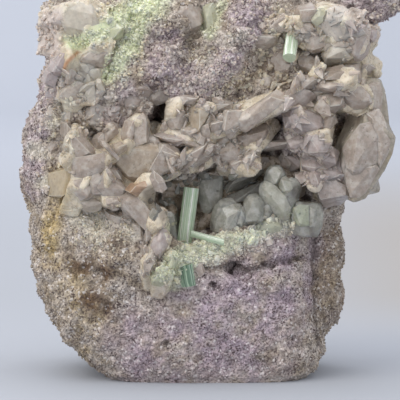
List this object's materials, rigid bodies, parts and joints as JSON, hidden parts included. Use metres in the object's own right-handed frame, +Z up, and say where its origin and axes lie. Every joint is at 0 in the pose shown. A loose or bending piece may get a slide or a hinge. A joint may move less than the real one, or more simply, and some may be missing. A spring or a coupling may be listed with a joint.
{
  "type": "pollucite mineral specimen",
  "caption": "Tall blocky hand specimen of pollucite: granular lilac and yellow-stained rock with clear and milky crystals, green tourmalines and a lined hollow.",
  "frame": {"origin": "middle of the flat underside it stands on", "axes": "+Z up; the face with the crystals and the hollow looks towards -Y, and +X is to its right as seen from the front"},
  "size_m": [0.1094, 0.0722, 0.1186],
  "materials": {
    "matrix_rock": "granular lilac-grey rock, stained yellow and brown at the left",
    "left_glassy_mass": "waxy beige, clear at the edges",
    "upper_left_glassy_mass": "waxy beige, clear at the edges",
    "right_clear_block": "clear yellowish grey",
    "upper_right_crystals": "milky, glassy faces",
    "right_milky_crystals": "milky, glassy faces",
    "middle_crystals": "milky, glassy faces",
    "main_tourmaline": "clear green, striated along its length",
    "crossing_tourmaline": "clear green, striated along its length",
    "lower_tourmaline_stub": "dark green",
    "upper_tourmaline": "mint and olive green",
    "green_edged_crystal": "clear with green edges",
    "lilac_blunt_prisms": "milky lilac-white",
    "twin_lobed_crystal": "bright, white-green",
    "dome_crystals": "clear, faintly green",
    "hollow_crust": "dull brown-grey"
  },
  "bodies": {
    "root": {"matrix_rock": "matrix_rock", "left_glassy_mass": "left_glassy_mass", "upper_left_glassy_mass": "upper_left_glassy_mass", "right_clear_block": "right_clear_block", "upper_right_crystals": "upper_right_crystals", "right_milky_crystals": "right_milky_crystals", "middle_crystals": "middle_crystals", "main_tourmaline": "main_tourmaline", "crossing_tourmaline": "crossing_tourmaline", "lower_tourmaline_stub": "lower_tourmaline_stub", "upper_tourmaline": "upper_tourmaline", "green_edged_crystal": "green_edged_crystal", "lilac_blunt_prisms": "lilac_blunt_prisms", "twin_lobed_crystal": "twin_lobed_crystal", "dome_crystals": "dome_crystals", "hollow_crust": "hollow_crust"}
  },
  "joints": []
}
